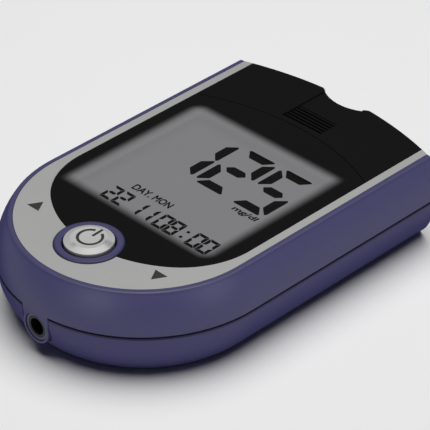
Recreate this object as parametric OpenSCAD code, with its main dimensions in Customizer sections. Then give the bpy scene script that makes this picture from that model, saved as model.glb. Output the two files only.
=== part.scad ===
// Pocket blood glucose meter: two blue shells, silver trim, black lens, strip port cover and buttons.
// Millimetres. The origin is the middle of the base, on the surface that the meter stands on.
// +Y points to the strip end and +Z to the display.

/* [Body] */
// Width across the parting line, the widest place
body_w = 58; // [57:0.5:64]
// Length from the rounded nose to the middle of the strip end
body_l = 86.8; // [86:0.2:96]
// Height of the flat top face
body_h = 19.1; // [19:0.1:21]
// Height of the line where the two shells meet
parting_z = 10.4; // [10.2:0.1:10.8]
// How far the base edge lies inside the parting line
base_in = 4.7; // [4.2:0.1:5]
// How far the top edge lies inside the parting line
top_in = 3.2; // [3:0.1:3.5]
// Radius of the bowed strip end, seen from above
end_r = 79; // [72:1:110]
// Rounding of the base edge
base_round = 1; // [0.6:0.1:1.2]
// Rounding of the top shoulder
shoulder_round = 0.8; // [0.5:0.1:1]
// Thickness of the side walls
wall = 1.8; // [1.7:0.1:2]
// Thickness of the floor
floor_t = 1.6; // [1.4:0.1:1.8]
// Thickness of the top wall that carries the lens
deck_t = 1.4; // [1.2:0.1:1.5]

/* [Parting line] */
// Height of the shadow groove between the shells
groove_h = 0.35; // [0.2:0.05:0.5]
// Depth of the shadow groove
groove_d = 0.5; // [0.3:0.05:0.6]
// Thickness of the lip that locates the upper shell
lip_t = 0.8; // [0.6:0.05:0.9]
// Height of the lip
lip_h = 1; // [0.6:0.1:1.1]
// Clearance round the lip
lip_gap = 0.1; // [0.05:0.05:0.2]

/* [Top face] */
// Thickness of the silver trim and of the lens
panel_t = 0.8; // [0.7:0.05:1]
// Thickness of the black print under the lens
mask_t = 0.15; // [0.1:0.05:0.2]
// Blue rim between the trim and the top edge
rim_w = 0.55; // [0.45:0.05:0.8]
// Width of the trim along the sides
trim_w = 1.9; // [1.6:0.1:2.4]
// Hairline gap between neighbouring panels
seam = 0.1; // [0.05:0.05:0.15]
// Width of the trim at the nose, on the middle line
trim_nose_w = 10.45; // [9.5:0.05:11]
// Radius of the lens at its nose
lens_nose_r = 27; // [26:0.5:30]
// Radius where the lens nose turns into the sides
lens_corner_r = 18; // [15:0.5:19]

/* [Display] */
// From the side of the lens to the window
window_side = 3.15; // [3:0.05:4]
// From the rounded corners of the lens to the front corners of the window
window_corner = 1.29; // [1.29:0.01:1.4]
// Corner radius of the window
window_round = 1; // [0.5:0.1:2]
// From the seam of the port cover to the window
window_back = 7; // [6.6:0.1:8]
// How far the top wall's opening reaches past the window
window_reveal = 0.9; // [0.6:0.1:1]
// How far the display glass reaches past the window
glass_border = 1.6; // [1.4:0.1:1.7]
// Thickness of each sheet of display glass
glass_t = 1.1; // [0.7:0.1:1.2]
// Thickness of the front polariser
polariser_t = 0.2; // [0.15:0.05:0.3]
// Thickness of the reflector behind the glass
reflector_t = 0.3; // [0.2:0.05:0.4]
// How far the rear glass reaches past the front glass, for the contacts
ledge_l = 2.6; // [2.4:0.1:2.8]
// From the underside of the top wall down to the display
display_drop = 0.5; // [0.4:0.05:0.6]
// Width of the foam gasket that fills the opening between display and print
gasket_w = 0.6; // [0.4:0.05:0.7]
// Width of the rubber connector that joins glass and board
zebra_w = 1.8; // [1.4:0.1:2]
// Wall thickness of the display frame
frame_wall = 0.9; // [0.8:0.1:1]
// Thickness of the shelf in the display frame
frame_shelf = 0.8; // [0.6:0.1:1]
// Clearance of the glass in its frame
glass_gap = 0.15; // [0.1:0.05:0.2]

/* [Strip port cover] */
// Length of the cover on the middle line
cover_l = 14.9; // [14.5:0.1:16]
// Radius of the seam between cover and lens
cover_seam_r = 54; // [50:1:70]
// How far the floor under the cover reaches under the lens
bay_step = 0.4; // [0.3:0.1:0.5]
// Thickness of the cover plate
cover_t = 1.6; // [1.5:0.1:1.8]
// Clearance round the cover
cover_gap = 0.15; // [0.1:0.05:0.2]
// Width of the finger notch in the end
notch_w = 12.4; // [11:0.2:13]
// Depth of the finger notch
notch_depth = 2.4; // [2:0.1:2.6]
// Rounding where the notch meets the end
notch_round = 1.2; // [0.6:0.1:1.4]
// Thickness of the skirt that closes the end
skirt_t = 1.4; // [1.2:0.1:1.5]
// Thickness of the shell's end wall behind the skirt
end_wall = 1.2; // [1:0.1:1.4]
// Width of the skirt
skirt_w = 40; // [38:0.5:41]
// Width of the shallow channel that leads to the notch
channel_w = 10.6; // [9.6:0.2:11]
// Depth of the shallow channel
channel_d = 0.3; // [0.15:0.05:0.4]
// Length of the grip recess
grip_l = 5.5; // [4.5:0.5:6]
// From the seam to the grip recess
grip_in = 1; // [0.6:0.1:1.4]
// Depth of the grip recess
grip_d = 0.8; // [0.5:0.05:0.9]
// Number of grip ribs
rib_count = 6; // [4:1:8]
// Width of a grip rib
rib_w = 0.45; // [0.3:0.05:0.5]
// Half the distance between the two runners
runner_x = 12; // [11:0.5:12.5]
// Thickness of a runner's leg
runner_t = 1.2; // [1:0.1:1.4]
// Length of a runner
runner_l = 9; // [7:0.5:9.5]
// Thickness of a runner's foot
foot_t = 0.8; // [0.6:0.1:1]
// How far a runner's foot reaches out
foot_w = 1; // [0.8:0.1:1.2]
// Clearance round the runners
runner_gap = 0.25; // [0.2:0.05:0.35]

/* [Strip connector] */
// Width of the strip connector
connector_w = 11; // [10:0.5:12]
// Length of the strip connector
connector_l = 9; // [8:0.5:9.5]
// Height of the strip connector
connector_h = 3.2; // [2.8:0.1:3.4]
// From the board's edge to the strip connector
connector_in = 0.7; // [0.5:0.1:0.9]
// Height of the strip's underside above the board
strip_lift = 1.2; // [1.1:0.1:1.4]
// Width of the strip slot
slot_w = 7.4; // [6:0.2:8]
// Height of the strip slot
slot_h = 1; // [0.8:0.1:1.2]
// How far the shelf that leads the strip in reaches past the slot on each side
shelf_side = 1; // [0.6:0.1:1.4]
// Gap between the shelf and the connector
shelf_gap = 0.3; // [0.2:0.05:0.4]
// Depth of the strip slot in the connector
slot_l = 7.4; // [6:0.2:7.8]
// Number of contacts on the strip
contact_count = 4; // [2:1:5]
// Width of one contact
contact_w = 0.7; // [0.5:0.1:0.9]
// Thickness of the contact metal
contact_t = 0.2; // [0.15:0.05:0.25]
// Clearance round the contacts
contact_gap = 0.1; // [0.05:0.05:0.12]

/* [Power button] */
// Radius of the power button
button_r = 4.9; // [4.6:0.1:5.2]
// From the nose to the middle of the power button
button_back = 14.5; // [14:0.1:15.2]
// How far the power button stands above the top face
button_proud = 1.3; // [1:0.1:1.6]
// Width of the sloped edge of the button
button_bevel = 1.3; // [1:0.1:1.6]
// Height of the sloped edge of the button
button_bevel_h = 0.55; // [0.4:0.05:0.7]
// Clearance between button and collar
button_gap = 0.35; // [0.3:0.05:0.45]
// Width of the blue collar
collar_w = 1.6; // [1.4:0.1:1.8]
// How far the collar stands above the top face
collar_proud = 0.35; // [0.2:0.05:0.5]
// Rounding of the collar's edges
collar_round = 0.3; // [0.15:0.05:0.35]
// Depth of the shallow dish in the button's top
dish_d = 0.12; // [0.05:0.01:0.2]
// Travel of the buttons
button_travel = 0.3; // [0.2:0.05:0.3]

/* [Arrow keys] */
// Distance of each arrow key from the middle line
key_x = 16.5; // [16:0.1:17]
// From the nose to the middle of the arrow keys
key_back = 16.1; // [15.6:0.1:17]
// Radius of a key plunger
key_r = 3; // [2.6:0.1:3.2]
// Clearance round a key plunger
key_gap = 0.3; // [0.3:0.05:0.4]
// How far the flange of a button or key reaches out
flange_w = 0.9; // [0.8:0.1:1]
// Thickness of the flange
flange_t = 1.1; // [0.9:0.1:1.2]
// Clearance between flange and top wall
flange_gap = 0.35; // [0.3:0.05:0.4]

/* [Switches] */
// Side of a switch body
switch_w = 6; // [5.8:0.1:6.2]
// Height of a switch body
switch_h = 3.1; // [2.6:0.1:3.2]
// Radius of a switch stem
stem_r = 1.7; // [1.4:0.1:1.8]
// Running clearance of the stem
stem_gap = 0.05; // [0.03:0.01:0.08]
// Depth of the stem in the switch body
stem_in = 1.2; // [1:0.1:1.4]
// Room left under a stem that is pressed right in
stem_spare = 0.2; // [0.1:0.05:0.3]

/* [Data jack] */
// Height of the jack's axis
jack_z = 6.8; // [6.7:0.1:7]
// Radius of the plug bore
jack_bore_r = 1.8; // [1.25:0.05:1.85]
// Depth of the plug bore
jack_bore_l = 15; // [12:0.5:16]
// Radius of the jack's round neck
jack_neck_r = 2.8; // [2.7:0.05:2.85]
// Length of the jack's round neck
jack_neck_l = 3.6; // [3.5:0.1:4]
// Width and height of the jack's body
jack_w = 6; // [5.8:0.1:6.2]
// Length of the jack's body
jack_l = 13; // [12:0.5:14]
// Clearance of the jack's neck in the shell
jack_gap = 0.15; // [0.1:0.05:0.2]
// Width of the blue rim round the jack
jack_rim = 0.5; // [0.4:0.05:0.6]
// How far the jack's rim lies behind the nose
jack_rim_in = 0.3; // [0.2:0.1:0.5]
// How far the jack's mouth lies behind its rim
jack_sunk = 0.25; // [0.1:0.05:0.4]
// Visible gap beside the tongue that holds the jack
tongue_gap = 0.2; // [0.15:0.05:0.3]

/* [Board] */
// Thickness of the circuit board
board_t = 1.2; // [1:0.1:1.3]
// Clearance between board and side walls
board_gap = 1.2; // [0.8:0.1:1.5]
// Distance of the board from the strip end
board_end = 3.6; // [3.5:0.1:4]
// Side of the main chip
chip_w = 9; // [7:0.5:10]
// Distance of the main chip from the middle line
chip_x = 11; // [11:0.5:12]
// From the front screws to the middle of the main chip
chip_back = 9.5; // [9:0.5:10]
// Thickness of the main chip
chip_t = 1.4; // [1:0.1:1.6]
// Number of leads on each side of the main chip
lead_count = 8; // [6:1:12]
// Radius of the buzzer
buzzer_r = 6; // [5:0.5:6.5]
// Height of the buzzer
buzzer_h = 2.6; // [2:0.1:3]
// Distance of the buzzer from the middle line
buzzer_x = 11.5; // [11:0.5:12]
// From the front screws to the middle of the buzzer
buzzer_back = 10; // [9.5:0.5:10.5]

/* [Screws] */
// Radius of the screw shank
screw_r = 1; // [0.9:0.05:1.1]
// Length of the screw shank
screw_l = 10.5; // [9.5:0.5:11]
// Radius of the screw head
head_r = 1.9; // [1.8:0.05:2]
// Height of the screw head
head_t = 1.3; // [1.1:0.1:1.5]
// Clearance round the screws
screw_gap = 0.15; // [0.1:0.05:0.2]
// Height of the seat under the screw head
seat_z = 4; // [3.6:0.1:4.4]
// Wall of the screw bosses
boss_wall = 0.9; // [0.8:0.1:1]
// Wall of the screw posts
post_wall = 1.25; // [1.1:0.05:1.3]
// Spare depth beyond a screw's point
screw_spare = 0.5; // [0.3:0.1:0.6]
// Distance of the front screws from the middle line
front_screw_x = 10; // [9.8:0.1:10.4]
// From the nose to the front screws
front_screw_back = 19.4; // [19.2:0.1:19.6]
// Distance of the rear screws from the middle line
rear_screw_x = 18; // [17.5:0.1:18.5]
// From the strip end to the rear screws
rear_screw_back = 10.4; // [10:0.1:10.8]

/* [Battery] */
// Radius of a coin cell
cell_r = 10; // [9.8:0.1:10]
// Thickness of a coin cell
cell_t = 3.2; // [2.5:0.1:3.2]
// Gap between the two cells
cell_gap = 0.6; // [0.4:0.1:0.8]
// Place of the cells along the meter
cell_y = 12; // [11:0.5:12.5]
// Room beside the cells in their compartment
cell_side = 1.1; // [0.9:0.1:1.2]
// Room in front of and behind the cells
cell_end = 1; // [0.9:0.1:1.2]
// Width of the battery contacts
strip_metal_w = 5; // [4:0.5:6]
// Thickness of the battery contacts
strip_metal_t = 0.25; // [0.2:0.05:0.3]
// Length of a battery spring's flat tip
spring_tip = 1.5; // [1:0.1:2]
// How far a battery clip's slope starts above the middle of its cell
clip_up = 1; // [0.8:0.1:1.2]
// How far a battery clip reaches below the middle of its cell
clip_down = 0.7; // [0.5:0.1:0.8]
// Wall of the battery compartment
pocket_wall = 1.2; // [1:0.1:1.2]
// Height of the compartment's ceiling
pocket_h = 7.2; // [7:0.1:7.4]
// Gap round the battery door
door_gap = 0.2; // [0.15:0.05:0.3]
// How far the battery door lies above the base
door_in = 0.25; // [0.2:0.05:0.4]
// Height of the door's ribs that carry the cells
door_rib_h = 0.7; // [0.5:0.1:0.8]
// Gap between the door's ribs and the cells
cell_lift = 0.3; // [0.3:0.05:0.4]
// Distance of the door's tabs from the middle line
tab_x = 19; // [18.6:0.1:19.1]
// Width of a tab
tab_w = 3.4; // [3:0.1:3.6]
// How far a tab reaches over the floor
tab_l = 1.4; // [1:0.1:1.5]
// Thickness of a tab
tab_t = 0.9; // [0.7:0.1:1]
// Gap between the tabs and the floor
tab_gap = 0.15; // [0.1:0.05:0.2]
// Width of the door's latch
latch_w = 9; // [7:0.5:10]
// Thickness of the latch spring
latch_t = 0.9; // [0.7:0.1:1]
// Height of the latch spring
latch_h = 4.4; // [3.5:0.1:4.6]
// How far the latch spring stands in from the door's edge
latch_in = 0.5; // [0.5:0.1:0.7]
// Gap beside the latch spring's tongue
latch_slit = 0.8; // [0.6:0.1:1]
// Length of the latch spring's tongue
latch_l = 3.2; // [2.6:0.1:3.6]
// Radius of the thumb scoop in front of the door
scoop_r = 4.6; // [4:0.1:5]
// Depth of the thumb scoop
scoop_d = 1; // [0.8:0.1:1.1]

/* [Hidden] */
$fn = 96;

// Places along the meter
cut = 0.01;
ease = 0.02;
half_w = body_w / 2;
nose_y = -body_l / 2;
end_y = body_l / 2;
nose_cy = nose_y + half_w;
end_cy = end_y - end_r;

// Flank arcs of the side profile, both upright at the parting line
low_r = (base_in * base_in + parting_z * parting_z) / (2 * base_in);
low_cx = half_w - low_r;
low_span = pow(low_r - base_round, 2) - pow(parting_z - base_round, 2);
base_cx = low_cx + sqrt(low_span);
base_angle = atan2(base_round - parting_z, base_cx - low_cx);
up_h = body_h - parting_z;
up_r = (top_in * top_in + up_h * up_h) / (2 * top_in);
up_cx = half_w - up_r;
up_span = pow(up_r - shoulder_round, 2) - pow(up_h - shoulder_round, 2);
shoulder_cx = up_cx + sqrt(up_span);
shoulder_angle = atan2(up_h - shoulder_round, shoulder_cx - up_cx);

// Levels, from the base up
board_z = jack_z + jack_w / 2;
board_top = board_z + board_t;
strip_z = board_top + strip_lift;
contact_z = strip_z + slot_h + contact_gap / 2;
panel_z = body_h - panel_t;
mask_z = panel_z - mask_t;
ceiling_z = mask_z - deck_t;
cover_z = body_h - cover_t;
bay_z = cover_z - cover_gap;
bay_ceiling_z = bay_z - deck_t;
glass_top = ceiling_z - display_drop;
front_glass_z = glass_top - polariser_t - glass_t;
rear_glass_z = front_glass_z - glass_t;
shelf_top = rear_glass_z - reflector_t;
flange_z = ceiling_z - flange_gap - flange_t;
switch_top = board_top + switch_h;
button_top = body_h + button_proud;

// Outlines of the top face
trim_half = half_w - top_in - rim_w;
lens_half = trim_half - trim_w;
lens_tip_y = nose_cy - trim_half + trim_nose_w;
lens_nose_cy = lens_tip_y + lens_nose_r;
lens_corner_cx = lens_half - lens_corner_r;
nose_step = lens_nose_r - lens_corner_r;
lens_corner_cy = lens_nose_cy - sqrt(nose_step * nose_step - lens_corner_cx * lens_corner_cx);
cover_seam_y = end_y - cover_l;
cover_seam_cy = cover_seam_y - cover_seam_r;
window_y1 = cover_seam_y - window_back;
window_span = pow(lens_corner_r - window_corner, 2) - pow(lens_corner_r - window_side, 2);
window_y0 = lens_corner_cy - sqrt(window_span);
window_cy = (window_y0 + window_y1) / 2;
window_w = 2 * (lens_half - window_side);
window_l = window_y1 - window_y0;
glass_w = window_w + 2 * glass_border;
glass_y0 = window_y0 - glass_border;
glass_y1 = window_y1 + glass_border;
rear_glass_y1 = glass_y1 + ledge_l;
zebra_gap = (ledge_l - zebra_w) / 2;
zebra_y = glass_y1 + zebra_gap;
zebra_l = glass_w - 2 * zebra_gap;

// Runners of the port cover
runner_y = end_y - skirt_t - runner_l;
foot_z = bay_ceiling_z - runner_gap - foot_t;
end_wall_r = end_r - skirt_t - cover_gap - end_wall;
end_wall_y = end_cy + sqrt(end_wall_r * end_wall_r - pow(runner_x + runner_t + foot_w, 2));

// Finger notch: an arc through the two corners and the deepest point
notch_sag = notch_depth - end_r + sqrt(end_r * end_r - notch_w * notch_w / 4);
notch_r = (notch_w * notch_w / 4 + notch_sag * notch_sag) / (2 * notch_sag);
notch_cy = end_y - notch_depth + notch_r;

// Power button and arrow keys
button_y = nose_y + button_back;
collar_in = button_r + button_gap;
collar_out = collar_in + collar_w;
key_y = nose_y + key_back;

// Strip connector
connector_y = end_y - board_end - connector_in - connector_l;

// Data jack
jack_rim_y = nose_y + jack_rim_in;
jack_mouth_y = jack_rim_y + jack_sunk;
jack_body_y = jack_mouth_y + jack_neck_l;
jack_hole_r = jack_neck_r + jack_gap;
tongue_r = jack_hole_r + jack_rim;

// Screws
front_screw_y = nose_y + front_screw_back;
rear_screw_y = end_y - rear_screw_back;
screw_places = [
    [-front_screw_x, front_screw_y], [front_screw_x, front_screw_y],
    [-rear_screw_x, rear_screw_y], [rear_screw_x, rear_screw_y]
];
well_r = head_r + screw_gap;
boss_r = well_r + boss_wall;
post_r = screw_r + screw_gap + post_wall;

// Places of the board's parts
main_chip_place = [-chip_x, front_screw_y + chip_back];
analog_chip_place = [connector_w / 2 + 4, connector_y + connector_l / 2];
crystal_place = [-0.8, front_screw_y + 8];
capacitor_place = [-3.6, front_screw_y + 4];
buzzer_place = [buzzer_x, front_screw_y + buzzer_back];

// Battery compartment
cell_x = cell_r + cell_gap / 2;
pocket_x = cell_x + cell_r + cell_side;
pocket_y = cell_r + cell_end;
door_top = floor_t;
cell_z = door_top + door_rib_h + cell_lift;
tab_y = cell_y + pocket_y - door_gap;
tab_z = floor_t + tab_gap;
tab_slot_h = tab_l + tab_t;

// ---- Shared outlines and solids ----

// Outline seen from above: half-round nose, straight sides, bowed strip end
module plan(half, tail_in = 0) {
    intersection() {
        union() {
            translate([0, nose_cy]) intersection() {
                circle(r = half);
                translate([-half, -half]) square([2 * half, half]);
            }
            translate([-half, nose_cy]) square([2 * half, end_y + 1 - nose_cy]);
        }
        translate([0, end_cy]) circle(r = end_r - tail_in);
    }
}

// Stretch of the side profile between two heights, bounded by one arc about the parting line's level
module flank(cx, r, z0, z1) {
    translate([0, z0]) square([cx, z1 - z0]);
    intersection() {
        translate([cx, parting_z]) circle(r = r);
        translate([cx, z0]) square([r, z1 - z0]);
    }
}

// What lies outside a rounded edge, between the directions of the two faces that meet there
module edge_cut(cx, cz, r, a0, a1) {
    mid = (a0 + a1) / 2;
    fan = [[a0, 4], [mid, 5], [a1, 4]];
    translate([cx + ease * cos(mid), cz + ease * sin(mid)]) difference() {
        polygon([[0, 0], for (ray = fan) ray[1] * r * [cos(ray[0]), sin(ray[0])]]);
        circle(r = r);
    }
}

// Carries a side profile round the nose and along both sides to the strip end
module swept(tail_in = 0) {
    intersection() {
        union() {
            translate([0, nose_cy, 0]) rotate([0, 0, 180]) rotate_extrude(angle = 180) children();
            translate([0, end_y + 1, 0]) rotate([90, 0, 0]) linear_extrude(height = end_y + 1 - nose_cy) {
                children();
                mirror([1, 0]) children();
            }
        }
        translate([0, end_cy, -1]) cylinder(r = end_r - tail_in, h = body_h + 2);
    }
}

module upper_form() {
    swept() difference() {
        flank(up_cx, up_r, parting_z, body_h);
        edge_cut(shoulder_cx, body_h - shoulder_round, shoulder_round, 90, shoulder_angle);
    }
}

module upper_hollow() {
    swept(skirt_t + cover_gap + end_wall) flank(up_cx, up_r - wall, parting_z, ceiling_z);
}

module lower_form(inset = 0) {
    swept() difference() {
        flank(low_cx, low_r - inset, 0, parting_z);
        edge_cut(base_cx - inset, base_round, base_round, -90, base_angle);
    }
}

module lower_hollow() {
    swept(wall) flank(low_cx, low_r - wall, floor_t, parting_z);
}

module slab(z0, z1) {
    translate([0, 0, z0]) linear_extrude(height = z1 - z0) children();
}

module rounded_rect(w, l, r) {
    translate([-w / 2 + r, -l / 2]) square([w - 2 * r, l]);
    translate([-w / 2, -l / 2 + r]) square([w, l - 2 * r]);
    for (x = [-1, 1], y = [-1, 1]) translate([x * (w / 2 - r), y * (l / 2 - r)]) circle(r = r);
}

// Black face with the three-arc nose; grow adds a clearance all round
module dark_face(grow = 0, tail_in = 0) {
    half = lens_half + grow;
    corner_r = lens_corner_r + grow;
    tangent = [lens_corner_cx, lens_corner_cy - lens_nose_cy] / nose_step;
    reach = 2 * lens_nose_r;
    intersection() {
        union() {
            translate([-half, lens_corner_cy]) square([2 * half, end_y + 1 - lens_corner_cy]);
            for (side = [-1, 1]) translate([side * lens_corner_cx, lens_corner_cy]) intersection() {
                circle(r = corner_r);
                translate([-corner_r, -corner_r]) square([2 * corner_r, corner_r]);
            }
            intersection() {
                translate([0, lens_nose_cy]) circle(r = lens_nose_r + grow);
                translate([0, lens_nose_cy]) scale(reach)
                    polygon([[0, 0], [-tangent[0], tangent[1]], [tangent[0], tangent[1]]]);
            }
        }
        translate([0, end_cy]) circle(r = end_r - tail_in);
    }
}

module collar_hole(grow = 0) {
    translate([0, button_y]) circle(r = collar_out + grow);
}

module seam_disc(grow = 0) {
    translate([0, cover_seam_cy]) circle(r = cover_seam_r + grow);
}

module lens_outline() {
    difference() {
        intersection() {
            dark_face();
            seam_disc(-cover_gap);
        }
        collar_hole(seam);
    }
}

module window_outline(grow = 0) {
    translate([0, window_cy]) rounded_rect(window_w + 2 * grow, window_l + 2 * grow, window_round);
}

// Everything that the finger notch takes away from the end, with its rounded corners
module notch_cut(grow = 0) {
    r = notch_r + grow;
    span = notch_cy - end_cy;
    near = r + notch_round;
    far = end_r - notch_round;
    fy = (far * far - near * near + span * span) / (2 * span);
    fx = sqrt(far * far - fy * fy);
    out = (end_r + 4) / far;
    intersection() {
        translate([0, notch_cy]) circle(r = r);
        translate([-r, notch_cy - r]) square([2 * r, r]);
    }
    difference() {
        polygon([
            [0, notch_cy], [-fx, end_cy + fy], [-fx * out, end_cy + fy * out],
            [fx * out, end_cy + fy * out], [fx, end_cy + fy]
        ]);
        for (side = [-1, 1]) translate([side * fx, end_cy + fy]) circle(r = notch_round);
    }
}

// Disc or ring whose upper edges are rounded
module round_top(r0, r1, z0, z1, e) {
    rotate_extrude() {
        translate([r0, z0]) square([r1 - r0, z1 - e - z0]);
        translate([r0 + (r0 > 0 ? e : 0), z1 - e - cut]) square([r1 - r0 - e - (r0 > 0 ? e : 0), e + cut]);
        translate([r1 - e, z1 - e]) circle(r = e);
        if (r0 > 0) translate([r0 + e, z1 - e]) circle(r = e);
    }
}

// Opening shape of the tongue at the nose: half round below, straight up to the parting line
module tongue_prism(r, z1) {
    translate([0, nose_cy, 0]) rotate([90, 0, 0]) linear_extrude(height = half_w + 1) {
        translate([0, jack_z]) circle(r = r);
        translate([-r, jack_z]) square([2 * r, z1 - jack_z]);
    }
}

// ---- Shells ----

module jack_tongue() {
    difference() {
        union() {
            difference() {
                intersection() {
                    lower_form(ease);
                    tongue_prism(tongue_r, parting_z);
                }
                lower_hollow();
            }
            translate([0, jack_rim_y, jack_z]) rotate([-90, 0, 0]) cylinder(r = tongue_r, h = wall);
        }
        translate([0, nose_y - 1, jack_z]) rotate([-90, 0, 0]) cylinder(r = jack_hole_r, h = 8);
    }
}

module screw_post(place, z1) {
    translate([place[0], place[1], board_top]) difference() {
        cylinder(r = post_r, h = z1 - board_top + cut);
        translate([0, 0, -1])
            cylinder(r = screw_r + screw_gap, h = screw_l + seat_z - board_top + 1 + screw_spare);
    }
}

module cover_bay() {
    slab(bay_z, body_h + 1) difference() {
        dark_face(seam, -1);
        seam_disc(-cover_gap);
    }
}

// Room at the end for the cover's skirt, its notch wall and its runners
module skirt_bay() {
    slab(strip_z, body_h + 1) intersection() {
        translate([-skirt_w / 2 - cover_gap, 0]) square([skirt_w + 2 * cover_gap, body_l]);
        difference() {
            translate([0, end_cy]) circle(r = end_r + 1);
            translate([0, end_cy]) circle(r = end_r - skirt_t - cover_gap);
        }
    }
    slab(strip_z, body_h + 1) notch_cut(skirt_t + cover_gap);
    for (side = [-1, 1]) runner_way(side);
}

// Slot in the bay's floor for a runner's leg, and its foot's way out through the end wall
module runner_way(side) {
    leg_w = runner_t + 2 * runner_gap;
    foot_x = runner_t / 2 + runner_gap;
    translate([side * runner_x - leg_w / 2, runner_y - runner_gap, foot_z])
        cube([leg_w, runner_l + skirt_t + 1, bay_z - foot_z + 1]);
    low_x = side > 0 ? runner_x - foot_x : -runner_x - foot_x - foot_w;
    translate([low_x, end_wall_y - 1, foot_z - runner_gap])
        cube([2 * foot_x + foot_w, body_l, bay_ceiling_z - foot_z + runner_gap]);
}

module top_shell() {
    color([0.285, 0.27, 0.43]) difference() {
        union() {
            difference() {
                upper_form();
                difference() {
                    upper_hollow();
                    slab(bay_ceiling_z, body_h) difference() {
                        plan(half_w);
                        seam_disc(-bay_step);
                    }
                }
                slab(panel_z, body_h + 1) plan(trim_half + seam, -1);
                slab(mask_z, body_h + 1) difference() {
                    dark_face(seam, -1);
                    collar_hole();
                }
                difference() {
                    slab(parting_z - 1, parting_z + lip_h + lip_gap)
                        plan(half_w - wall + lip_t + lip_gap, wall - lip_t - lip_gap);
                    tongue_prism(tongue_r, body_h);
                }
                difference() {
                    slab(parting_z - 1, parting_z + groove_h) difference() {
                        plan(half_w + 1, -1);
                        plan(half_w - groove_d, groove_d);
                    }
                    tongue_prism(tongue_r, body_h);
                }
            }
            translate([0, button_y, 0])
                round_top(collar_in, collar_out, ceiling_z, body_h + collar_proud, collar_round);
            jack_tongue();
            for (i = [0, 1]) screw_post(screw_places[i], ceiling_z);
            for (i = [2, 3]) screw_post(screw_places[i], bay_ceiling_z);
            slab(parting_z + lip_h + lip_gap, strip_z) intersection() {
                translate([-slot_w / 2 - shelf_side, connector_y + connector_l + shelf_gap])
                    square([slot_w + 2 * shelf_side, end_y]);
                plan(half_w, wall / 2);
            }
        }
        cover_bay();
        skirt_bay();
        slab(ceiling_z - 1, body_h) window_outline(window_reveal);
        translate([0, button_y, 0]) cylinder(r = collar_in, h = body_h + 3);
        for (side = [-1, 1]) translate([side * key_x, key_y, ceiling_z - 1])
            cylinder(r = key_r + key_gap, h = body_h);
    }
}

module screw_boss(place) {
    translate([place[0], place[1], floor_t - cut]) cylinder(r = boss_r, h = board_z - floor_t + cut);
}

module screw_well(place) {
    translate([place[0], place[1], -1]) cylinder(r = well_r, h = seat_z + 1);
    translate([place[0], place[1], -1]) cylinder(r = screw_r + screw_gap, h = board_z + 2);
}

module bottom_shell() {
    roof_z = pocket_h + pocket_wall;
    color([0.25, 0.24, 0.385]) difference() {
        union() {
            difference() {
                lower_form();
                lower_hollow();
            }
            slab(parting_z, parting_z + lip_h) difference() {
                plan(half_w - wall + lip_t, wall - lip_t);
                plan(half_w - wall, wall);
            }
            for (place = screw_places) screw_boss(place);
            translate([-pocket_x - pocket_wall, cell_y - pocket_y - pocket_wall, floor_t - cut])
                cube([2 * (pocket_x + pocket_wall), 2 * (pocket_y + pocket_wall), roof_z - floor_t + cut]);
        }
        translate([-pocket_x, cell_y - pocket_y, -1]) cube([2 * pocket_x, 2 * pocket_y, pocket_h + 1]);
        for (place = screw_places) screw_well(place);
        for (side = [-1, 1])
            translate([side * tab_x - tab_w / 2 - door_gap, tab_y, floor_t])
                cube([tab_w + 2 * door_gap, tab_l + 2 * door_gap, tab_slot_h]);
        tongue_prism(tongue_r + tongue_gap, board_top + 2);
        translate([-latch_w / 2, cell_y - pocket_y, scoop_d - scoop_r]) rotate([0, 90, 0])
            cylinder(r = scoop_r, h = latch_w);
    }
}

// ---- Top face ----

module trim_panel() {
    color([0.66, 0.66, 0.66]) slab(panel_z, body_h) difference() {
        plan(trim_half);
        dark_face(seam, -1);
        collar_hole(seam);
    }
}

module display_lens() {
    color([0.1, 0.1, 0.1]) slab(panel_z, body_h) lens_outline();
}

module lens_mask() {
    color([0.06, 0.06, 0.06]) slab(mask_z, panel_z) difference() {
        lens_outline();
        window_outline();
    }
}

module grip_ribs() {
    pitch = grip_l / rib_count;
    first_y = cover_seam_y + grip_in + (pitch - rib_w) / 2;
    for (i = [0 : rib_count - 1]) translate([-channel_w / 2, first_y + pitch * i, body_h - grip_d - cut])
        cube([channel_w, rib_w, grip_d - channel_d + cut]);
}

module cover_runner(side) {
    translate([side * runner_x - runner_t / 2, runner_y, foot_z])
        cube([runner_t, runner_l, cover_z - foot_z + cut]);
    translate([side > 0 ? runner_x : -runner_x - runner_t / 2 - foot_w, runner_y, foot_z])
        cube([runner_t / 2 + foot_w, runner_l, foot_t]);
}

module port_cover() {
    strip_room = slot_w + 4 * cover_gap;
    color([0.07, 0.07, 0.07]) difference() {
        union() {
            difference() {
                slab(cover_z, body_h) difference() {
                    dark_face();
                    seam_disc();
                }
                translate([-channel_w / 2, cover_seam_y + grip_in, body_h - channel_d])
                    cube([channel_w, cover_l + 1, channel_d + 1]);
                translate([-channel_w / 2, cover_seam_y + grip_in, body_h - grip_d])
                    cube([channel_w, grip_l, grip_d + 1]);
            }
            grip_ribs();
            slab(strip_z + cover_gap, cover_z + cut) intersection() {
                plan(half_w);
                union() {
                    difference() {
                        translate([-skirt_w / 2, 0]) square([skirt_w, body_l]);
                        translate([0, end_cy]) circle(r = end_r - skirt_t);
                    }
                    notch_cut(skirt_t);
                }
            }
            for (side = [-1, 1]) cover_runner(side);
        }
        slab(0, body_h + 1) notch_cut();
        translate([-strip_room / 2, 0, 0]) cube([strip_room, body_l, strip_z + slot_h + 2 * cover_gap]);
    }
}

// ---- Buttons and keys ----

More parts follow.
